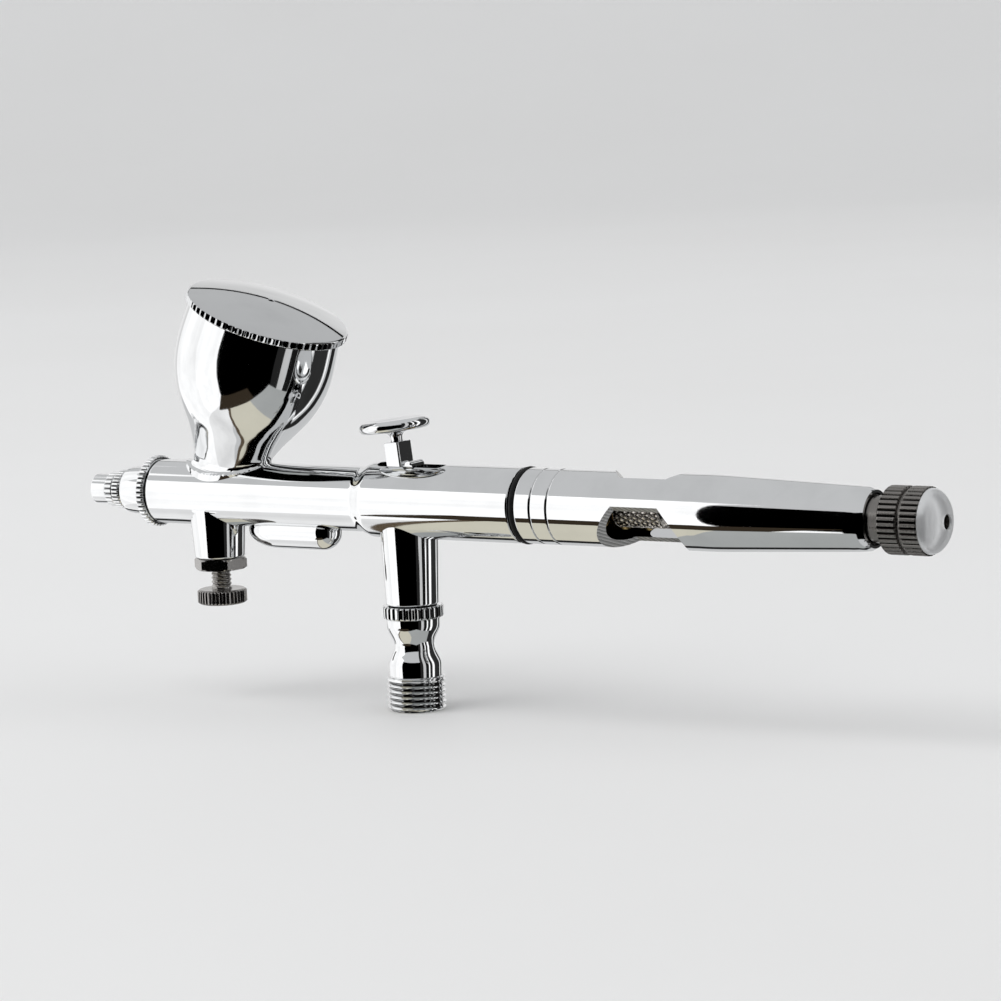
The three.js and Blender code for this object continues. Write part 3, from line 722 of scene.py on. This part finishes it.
def nozzle_cap():
    front, back = -59.6, high("nozzle_cap").x
    knurl_front, knurl_back, knurl_r = -58.75, -57.05, 3.3
    knurled = [(front, 0.9), (front, 1.5), (knurl_front, 1.5), (knurl_front, knurl_r - 0.3),
               (knurl_front + 0.25, knurl_r), (knurl_back - 0.25, knurl_r), (knurl_back, knurl_r - 0.25)]
    cone = [(-56.6, 3.0), (-56.6, 3.6), (-56.3, 3.85), (-55.2, 4.0), (-53, 4.12), (-51.65, 4.12)]
    inside = [(-51.65, 3.05), (back, 3.05), (back, 2.2), (-57, 1.9), (-58.6, 0.9), (front, 0.9)]
    teeth = 30
    relief = straight_knurl(knurl_r, 0.34, teeth, knurl_front + 0.05, knurl_back - 0.05)
    cap = turned("nozzle_cap", rounded(knurled + cone + inside, 0.15, 3), segments=teeth * 8, relief=relief)
    return finish_piece(cap, "nozzle_cap", CHROME_NOSE)


def needle_cap():
    front, back = low("needle_cap").x, -58.9
    bore, crown_r, knurl_r = 1.7, 2.5, 2.95
    profile = [(front, bore), (front, crown_r), (-60.5, crown_r), (-60.4, knurl_r), (back, knurl_r),
               (back, bore), (front, bore)]
    teeth = 20
    relief = straight_knurl(knurl_r, 0.32, teeth, -60.45, back - 0.1)
    cap = turned("needle_cap", rounded(profile, 0.14, 3), segments=teeth * 10, relief=relief)
    return finish_piece(cap, "needle_cap", CHROME_NOSE)


def fluid_nozzle():
    front, seat, back = -59.2, -49, -46.2
    profile = [(front, 0.17), (front, 0.35), (seat - 1.5, 1.2), (seat, 1.2), (seat, 1.6), (back, 1.6),
               (back, 0.78), (-47.5, 0.75), (front, 0.17)]
    nozzle = turned("nozzle", rounded(profile, 0.05, 2), segments=48)
    return finish_piece(nozzle, "fluid_nozzle", STEEL)


# ---- needle line ----
def needle():
    tip, end, radius = low("needle").x, high("needle").x, high("needle").y
    taper_end = -47
    profile = [(tip, 0), (taper_end, radius), (end - 0.4, radius), (end, radius - 0.3), (end, 0)]
    return finish_piece(turned("needle", rounded(profile, 0.1), segments=32), "needle", STEEL)


def needle_tube():
    front, back = 4.4, 46.8
    bore, tube_r, flange_r, thread_r = 0.7, 2, 3.3, 1.6
    profile = [(front, bore), (front, tube_r), (6.5, tube_r), (6.5, flange_r), (8, flange_r), (8, tube_r),
               (40, tube_r), (40, thread_r), (back, thread_r), (back, bore), (front, bore)]
    tube = turned("tube", rounded(profile, 0.12, 2), segments=64)
    tongue = extruded("tongue", round_rectangle(2.3, 5, -2.3, 1.2, 0.3), -1.05, 1.05)
    needle_way = turned("way", [(0, 0), (0, bore), (12, bore), (12, 0)], segments=64)
    combine(tube, "UNION", tongue)
    combine(tube, "DIFFERENCE", needle_way, pin_hole(PIN_HOLE_R, LEVER_PIN))
    return finish_piece(tube, "needle_tube", BRASS)


def spring_case():
    front, back, bottom = 12.6, 37.5, 34.2
    bore, hole, radius = 3.45, 2.2, 3.85
    profile = [(front, bore), (front, radius), (back - 1.5, radius), (back, 3.3), (back, hole),
               (bottom, hole), (bottom, bore), (front, bore)]
    case = turned("case", rounded(profile, 0.2, 3), segments=72)
    return finish_piece(case, "spring_case", BRASS)


def chuck_nut():
    front, back, radius = low("chuck_nut").x, high("chuck_nut").x, high("chuck_nut").y
    knurl_front, knurl_back = 41, 49.8
    thread_r, needle_r = 1.75, 0.75
    profile = [(front, thread_r), (front, radius - 0.5), (knurl_front, radius), (knurl_back, radius),
               (back, 1.8), (back, needle_r), (47.5, needle_r), (47.1, thread_r), (front, thread_r)]
    relief = diamond_knurl(radius, 0.38, 18, 0.6, knurl_front + 0.1, knurl_back - 0.1)
    nut = turned("chuck", dense(rounded(profile, 0.15), 40, 50, 0.13), segments=216, relief=relief)
    return finish_piece(nut, "chuck_nut", NICKEL_CHUCK, 20)


def back_lever():
    tip = arc((1.6, 6), 0.75, 0, 180, 12)
    outline = [(1.6, -2.6), (4.1, -2.6), (4.1, 0.5), (2.6, 2.5), *tip, (0.95, 2.5)]
    lever = extruded("lever", outline, -1.85, 1.85)
    gap = extruded("gap", round_rectangle(0, 6, -4, 1.5, 0.5), -1.2, 1.2)
    combine(lever, "DIFFERENCE", gap, pin_hole(PIN_HOLE_R, LEVER_PIN))
    return finish_piece(soften(lever, 0.15, 3, 40), "back_lever", CHROME)


# ---- handle and preset knob ----
def handle():
    bore, tail_bore, spigot = 5.0, 4.16, SPIGOT_R + 0.15
    groove = []
    for x in (27.35, 30.5):
        groove += [(x - 0.15, HANDLE_R), (x, HANDLE_R - 0.18), (x + 0.15, HANDLE_R)]
    straight_end = HANDLE_TAPER_X - 4
    outside = [(HANDLE_FRONT, spigot), (HANDLE_FRONT, HANDLE_R), *groove, (straight_end, HANDLE_R)]
    taper = smooth_curve([(straight_end, HANDLE_R), (HANDLE_TAPER_X, HANDLE_R - 0.03),
                          (HANDLE_TAPER_X + 8, HANDLE_R - 0.33), (84.5, HANDLE_TAIL_R)], 8)[1:]
    tail = [(HANDLE_END - 0.8, 5.05), (HANDLE_END, 4.6), (HANDLE_END, tail_bore)]
    inside = [(60, tail_bore), (58, bore), (32, bore), (31, spigot), (HANDLE_FRONT, spigot)]
    profile = rounded(outside, 0.12, 2) + taper + tail + inside
    shell = turned("handle", dense(profile, 20, 100, 0.8), segments=192)
    for side in (0, 1):
        combine(shell, "DIFFERENCE", cutaway(side))
    return finish_piece(shell, "handle", CHROME_X, 25, MILLED, in_cutaway)


def in_cutaway(centre, normal):
    """Whether a face of the handle was cut by the mill, and not by the lathe."""
    radius = math.hypot(centre.y, centre.z)
    outward = (normal.y * centre.y + normal.z * centre.z) / radius
    across = abs(normal.y * centre.z - normal.z * centre.y) / radius
    inside_cut = CUT_FROM - 1 < centre.x < CUT_TO + 1 and radius < HANDLE_R - 0.02
    return inside_cut and (across > 0.05 or 0.3 < abs(normal.x) < 0.95) and outward > -0.5


def cutaway(side):
    """A flat on one side of the handle, with ends sloping out at 45 degrees."""
    up = HANDLE_R + 1
    run = up - CUT_DEPTH_R
    flat_from = CUT_FROM + HANDLE_R - CUT_DEPTH_R
    flat_to = CUT_TO - HANDLE_R + CUT_DEPTH_R
    outline = [(flat_from - run, up), (flat_from, CUT_DEPTH_R), (flat_to, CUT_DEPTH_R), (flat_to + run, up)]
    tool = extruded("cutaway", outline, -up, up)
    tool.data.transform(Matrix.Rotation(CUT_TURN + side * math.pi, 4, "X"))
    return tool


def preset_knob():
    front = low("preset_knob").x
    rim = KNOB_R - 0.25
    point_r, screw_r = 2, 3.95
    shaft = [(front, 0), (front, point_r), (75.5, point_r), (76.2, screw_r), (81.8, screw_r), (81.8, 3.1),
             (83.2, 3.1), (83.2, screw_r), (87, screw_r), (87, 3.8), (KNOB_FRONT, 3.8)]
    knurled = [(KNOB_FRONT, rim - 0.6), (KNOB_FRONT + 0.6, KNOB_R), (93.15, KNOB_R), (93.3, rim - 0.3),
               (93.75, rim - 0.3), (93.9, KNOB_R), (KNOB_DOME - 0.05, KNOB_R), (KNOB_DOME, rim)]
    dome = []
    for angle in range(5, 76, 5):
        turn = math.radians(angle)
        dome.append((KNOB_DOME + (KNOB_END - KNOB_DOME) * math.sin(turn), rim * math.cos(turn)))
    hole = [(KNOB_END - 0.05, 1.25), (KNOB_END - 0.3, 1.15), (94, 1.15), (93.3, 0)]
    teeth = 36
    relief = straight_knurl(KNOB_R, 0.42, teeth, KNOB_FRONT + 0.55, KNOB_DOME - 0.03, crest=0.45)
    profile = rounded(shaft + knurled, 0.1, 2) + dome + hole
    knob = turned("knob", profile, segments=teeth * 8, relief=relief)
    return finish_piece(knob, "preset_knob", NICKEL_X, 32, SILVER, on_dome)


def on_dome(centre, normal):
    return centre.x > KNOB_DOME


# ---- air valve ----
def valve_body():
    flange_r = high("valve_body").y
    flange_bottom, flange_top = -19.4, -17.35
    hose_bore, stem_bore, boss_r = 2.3, 1.05, 3.2
    waist_bottom, waist_length, waist_r, waist_swell = -27.3, 6.7, 3.3, 1.15
    waist = []
    for k in range(13):
        swell = math.cos(math.pi * k / 12) ** 2
        waist.append((waist_bottom + waist_length * k / 12, waist_r + waist_swell * swell))
    thread_top = INLET_Z + 5.6
    outside = [(INLET_Z, hose_bore), (INLET_Z, THREAD_R - 0.5), (INLET_Z + 0.4, THREAD_R),
               (thread_top, THREAD_R), (thread_top + 0.1, 4.4), *waist, (flange_bottom, 4.5),
               (flange_bottom, flange_r - 0.2), (flange_bottom + 0.2, flange_r),
               (flange_top - 0.2, flange_r), (flange_top, flange_r - 0.2), (flange_top, boss_r),
               (-11.5, boss_r), (-11.5, stem_bore)]
    inside = [(-14, stem_bore), (-14, hose_bore), (INLET_Z, hose_bore)]
    relief = several(helical_thread(THREAD_R, 0.58, THREAD_PITCH, INLET_Z, thread_top),
                     straight_knurl(flange_r, 0.4, 32, flange_bottom, flange_top, crest=0.5))
    profile = dense(rounded(outside + inside, 0.12, 3), INLET_Z, thread_top, 0.07)
    body = turned("valve", profile, "Z", 320, relief)
    return finish_piece(body, "valve_body", CHROME_VALVE)


def valve_screw():
    bottom, top, hole, radius = -30, -26.2, 1.2, 2.15
    profile = [(bottom, hole), (bottom, radius), (top, radius), (top, hole), (bottom, hole)]
    screw = turned("valve_screw", rounded(profile, 0.15), "Z", 64)
    slot = extruded("slot", round_rectangle(-3, 3, -0.4, 0.4, 0.05), bottom - 1, bottom + 0.8, "Z")
    combine(screw, "DIFFERENCE", slot)
    return finish_piece(screw, "valve_screw", BRASS)


# ---- trigger, drawn upright above its pin ----
def trigger():
    half_x, half_y = 1.45, 2.05
    neck_bottom = 13.9
    stem_outline = round_rectangle(-half_x, half_x, -half_y, half_y, 0.3, 4)
    stem = soften(extruded("stem", stem_outline, 1.9, neck_bottom + 0.5, "Z"), 0.2)
    foot_outline = [*arc((0, 0), half_x, 180, 360, 16), (half_x, 2.5), (-half_x, 2.5)]
    foot = extruded("foot", foot_outline, -0.55, 0.55)
    neck_side = smooth_curve([(neck_bottom, 1.25), (14.8, 1.0), (15.6, 1.25), (16.0, 2.0),
                              (PAD_UNDER + 0.2, 3.9)], 6)
    rim = arc((PAD_UNDER + PAD_RIM_R, PAD_R - PAD_RIM_R), PAD_RIM_R, 185, 10, 16)
    dish = smooth_curve([(PAD_UNDER + 1.75, PAD_R - 1.35), (PAD_UNDER + 1.45, PAD_R - 3),
                         (PAD_UNDER + 1.4, 0)], 5)
    pad = turned("pad", [(neck_bottom, 0), *neck_side, *rim, *dish], "Z", 144)
    combine(stem, "UNION", foot, pad)
    needle_way = extruded("way", round_rectangle(-3, 3, -0.85, 0.85, 0.3), 2.9, 8.6, "Z")
    combine(stem, "DIFFERENCE", needle_way, pin_hole(PIN_HOLE_R + 0.02))
    stem.data.transform(Matrix.Translation((0, 0, PIVOT_Z)) @ Matrix.Rotation(TRIGGER_LEAN, 4, "Y"))
    return finish_piece(stem, "trigger", CHROME)


# ---- air trimmer ----
def trimmer_nut():
    bottom, top, seat = -12.9, -10.95, -8.7
    corner, hub_r, bore = 4.6, 2.3, 1.85
    profile = [(bottom, bore), (bottom, corner - 0.45), (bottom + 0.3, corner), (top - 0.3, corner),
               (top, corner - 0.45), (top, hub_r), (seat, hub_r), (seat, bore), (bottom, bore)]
    flats = hexagon(corner * math.cos(math.pi / 6), math.pi / 9 + math.pi / 6)

    def relief(along, angle, r):
        return flats(along, angle, r) if r > hub_r + 0.3 else r

    rows = dense(rounded(profile, 0.06, 2), bottom, top, 0.4)
    nut = turned("nut", rows, "Z", 180, relief, (TRIMMER_X, 0))
    return finish_piece(nut, "trimmer_nut", NICKEL_Z, 20)


def trimmer_screw():
    bottom, knob_top, tip = low("trimmer_screw").z, -16.3, -6.2
    radius, stem_r, ring_r = TRIMMER_KNOB_R, TRIMMER_STEM_R, 1.15
    profile = [(bottom, 0), (bottom, radius - 0.45), (bottom + 0.3, radius), (knob_top - 0.3, radius),
               (knob_top, radius - 0.45), (knob_top, stem_r), (-8.3, stem_r), (-8.3, ring_r),
               (-7.35, ring_r), (-7.35, stem_r), (-7, stem_r), (tip, 0.4), (tip, 0)]
    relief = several(straight_knurl(radius, 0.36, 40, bottom, knob_top, crest=0.35),
                     helical_thread(stem_r, 0.22, SCREW_PITCH, knob_top + 0.3, -8.6))
    rows = dense(rounded(profile, 0.12), -16.2, -8.4, 0.08)
    screw = turned("screw", rows, "Z", 320, relief, (TRIMMER_X, 0))
    return finish_piece(screw, "trimmer_screw", NICKEL_Z)


# ---- springs ----
def coil(node, axis, start, end, radius, wire, turns):
    """A round-wire spring along X (0) or Z (2), its end turns flat."""
    per_turn, around, flat = 28, 10, 0.7
    vertices = []
    for i in range(per_turn * turns + 1):
        rise = min(1.0, max(0.0, (i / per_turn - flat) / (turns - 2 * flat)))
        along = start + wire + (end - start - 2 * wire) * rise
        angle = TURN * i / per_turn
        for j in range(around):
            r = radius + wire * math.cos(TURN * j / around)
            height = along + wire * math.sin(TURN * j / around)
            p, q = r * math.cos(angle), r * math.sin(angle)
            vertices.append((height, p, q) if axis == 0 else (p, q, height))
    last = len(vertices) - around
    faces = [list(range(around)), list(range(last, len(vertices)))]
    for row in range(0, last, around):
        for j in range(around):
            a, b = row + j, row + (j + 1) % around
            faces.append([a, b, b + around, a + around])
    spring = finish_piece(raw_object(node, vertices, faces), node, STEEL)
    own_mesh(spring)
    return spring


# ---- soft rings ----
def ring(node, section_x, section_r):
    """A rubber ring round X in its node's place, with an oval section of these half sizes."""
    centre = ((low(node).x + high(node).x) / 2, high(node).y - section_r)
    points = arc(centre, section_r, 0, 360, 20, stretch=section_x / section_r)
    points[-1] = points[0]
    return finish_piece(turned(node, points, segments=128), node, RUBBER)


barrel()
paint_cup()
cup_lid()
air_head()
nozzle_cap()
needle_cap()
fluid_nozzle()
needle()
needle_tube()
spring_case()
chuck_nut()
back_lever()
handle()
preset_knob()
valve_body()
valve_screw()
trigger()
trimmer_nut()
trimmer_screw()
coil("needle_spring", 0, 8.5, 33.5, radius=2.85, wire=0.3, turns=11)
coil("valve_spring", 2, -25.8, -18, radius=1.6, wire=0.22, turns=6)
ring("handle_oring", 0.58, 0.75)
ring("preset_oring", 0.58, 0.42)

# Pieces that stay hidden inside keep their CAD shape and get a finish.
INNER = {
    "brass_inner": BRASS,
    "needle_steel": STEEL,
    "black_rubber": RUBBER,
    "white_seal": WHITE_SEAL,
}
for node, obj in frame["nodes"].items():
    if not obj.hide_render:
        obj.data.materials.clear()
        obj.data.materials.append(INNER[SLOT_OF[node]])


# ---- studio ----
CENTRE = (CAD_BOX[0] + CAD_BOX[1]) / 2
CAMERA_AZIMUTH = 32.5
CAMERA_ELEVATION = 7.5
CAMERA_ROLL = math.radians(-2.5)
CAMERA_DISTANCE = 0.807
CARD_DISTANCE = 1.1
TABLE_Z = -80


def direction(azimuth, elevation):
    """Degrees; azimuth 0 is in front of the object, on the -Y side."""
    azimuth, elevation = math.radians(azimuth), math.radians(elevation)
    return Vector((math.sin(azimuth) * math.cos(elevation), -math.cos(azimuth) * math.cos(elevation),
                   math.sin(elevation)))


def stage_object(name, vertices, faces, material):
    mesh = bpy.data.meshes.new(name)
    mesh.from_pydata(vertices, [], faces)
    mesh.materials.append(material)
    mesh.shade_smooth()
    obj = bpy.data.objects.new(name, mesh)
    bpy.context.scene.collection.objects.link(obj)
    return obj


def grid_faces(rows, columns):
    faces = []
    for i in range(rows):
        for j in range(columns):
            a = i * (columns + 1) + j
            faces.append([a, a + 1, a + columns + 2, a + columns + 1])
    return faces


def glow(name, colour, strength):
    """A light surface, a little uneven, as a room is."""
    shader = Shader(name)
    uneven = shader.spread(shader.noise(2.5, detail=4.0), 0.3, 0.7, 0.88 * strength, 1.12 * strength)
    shader.principled(Base_Color=grey(0), Specular_IOR_Level=0.0, Emission_Color=colour,
                      Emission_Strength=uneven)
    return shader.material


def seen_in_metal_only(obj):
    obj.visible_camera = False
    obj.visible_shadow = False
    obj.visible_diffuse = False
    obj.visible_transmission = False


def card(name, azimuths, elevations, brightness, tint=(1, 1, 1)):
    """A curved card round the object, in degrees."""
    rows, columns = 16, 32
    vertices = []
    for i in range(rows + 1):
        for j in range(columns + 1):
            azimuth = azimuths[0] + (azimuths[1] - azimuths[0]) * j / columns
            elevation = elevations[0] + (elevations[1] - elevations[0]) * i / rows
            vertices.append(CENTRE + direction(azimuth, elevation) * CARD_DISTANCE)
    obj = stage_object(name, vertices, grid_faces(rows, columns), glow(name, (*tint, 1.0), brightness))
    seen_in_metal_only(obj)


def strip(name, xs, ys, brightness, tint=(1, 1, 1)):
    """A flat card at the height of a table under the object; xs and ys in drawing millimetres."""
    vertices = [(ORIGIN.x + x * MM, y * MM, ORIGIN.z + TABLE_Z * MM) for y in ys for x in xs]
    obj = stage_object(name, vertices, grid_faces(1, 1), glow(name, (*tint, 1.0), brightness))
    seen_in_metal_only(obj)


def sweep():
    """A pale floor that curves up into a backdrop. The metal sees the cards in its place."""
    near, bend_from, bend_r, top, half_width = -2.2, 1.1, 0.9, 3.0, 3.5
    points = [(near, 0.0), (bend_from, 0.0)]
    for k in range(1, 17):
        turn = math.pi / 2 * k / 16
        points.append((bend_from + bend_r * math.sin(turn), bend_r - bend_r * math.cos(turn)))
    points.append((bend_from + bend_r, top))
    vertices = [(x, y, z) for y, z in points for x in (-half_width, half_width)]
    faces = [[2 * i, 2 * i + 1, 2 * i + 3, 2 * i + 2] for i in range(len(points) - 1)]
    shader = Shader("pale_paper")
    tone = shader.spread(shader.noise(3, detail=4.0), 0.3, 0.7, 0.0, 1.0)
    shader.principled(Base_Color=shader.blend(tone, grey(0.86), grey(0.83, 0.004)), Roughness=0.7,
                      Specular_IOR_Level=0.2)
    obj = stage_object("sweep", vertices, faces, shader.material)
    obj.rotation_euler.z = math.radians(CAMERA_AZIMUTH)
    obj.visible_glossy = False


def soft_light(name, azimuth, elevation, distance, size, power):
    data = bpy.data.lights.new(name, "AREA")
    data.shape = "DISK"
    data.size = size
    data.energy = power
    obj = bpy.data.objects.new(name, data)
    bpy.context.scene.collection.objects.link(obj)
    towards = direction(azimuth, elevation)
    obj.location = CENTRE + towards * distance
    obj.rotation_euler = (-towards).to_track_quat("-Z", "Y").to_euler()
    obj.visible_glossy = False


def camera():
    data = bpy.data.cameras.new("camera")
    data.sensor_width = 36
    data.lens = 178
    obj = bpy.data.objects.new("camera", data)
    bpy.context.scene.collection.objects.link(obj)
    back = direction(CAMERA_AZIMUTH, CAMERA_ELEVATION)
    obj.location = CENTRE + back * CAMERA_DISTANCE
    upright = (-back).to_track_quat("-Z", "Y").to_matrix()
    obj.rotation_euler = (upright @ Matrix.Rotation(CAMERA_ROLL, 3, "Z")).to_euler()
    bpy.context.scene.camera = obj


def world(brightness):
    surroundings = bpy.data.worlds.new("pale_room")
    surroundings.use_nodes = True
    background = surroundings.node_tree.nodes["Background"]
    background.inputs["Color"].default_value = grey(1.0, -0.01)
    background.inputs["Strength"].default_value = brightness
    bpy.context.scene.world = surroundings


def reflections():
    """What the chrome mirrors: a bright window on the left, a dark room and, on the right, its furniture."""
    card("window", (-62, -27), (-42, 33), 1.22)
    card("window_left", (-112, -62), (-42, 48), 1.12)
    card("window_sill", (-112, -27), (-66, -42), 0.9)
    card("dark_room", (-27, 54), (-66, 27), 0.0)
    card("wall_line", (-180, -112), (26.3, 28.1), 0.0)
    card("wall", (-180, -112), (-12, 26.3), 0.8)
    furniture = [(54, 67, 0.02), (67, 75, 0.62), (79, 93, 0.01), (93.5, 98, 1.4), (100, 111, 0.02),
                 (114, 122, 1.5), (125, 158, 0.03), (160, 163, 1.2), (168, 180, 0.02)]
    for i, (start, end, brightness) in enumerate(furniture):
        card(f"furniture_{i}", (start, end), (-75, 46), brightness)
    wood = (1.0, 0.75, 0.5)
    strip("table_front", (-85, 20), (-134, -82), 0.035, wood)
    strip("table_top", (-50, 8), (-82, 29), 0.62, (1.0, 0.96, 0.8))
    strip("table_side", (-56, -50), (-82, 29), 0.1, wood)
    strip("table_end", (8, 80), (-82, 29), 0.4, (0.97, 1.0, 0.99))
    strip("table_back", (-190, 80), (29, 56), 0.02)


sweep()
world(0.6)
soft_light("key", -50, 55, 1.6, 1.4, 10)
soft_light("fill", 100, 40, 1.8, 1.6, 5)
reflections()
camera()
bpy.context.scene.view_settings.view_transform = "Standard"
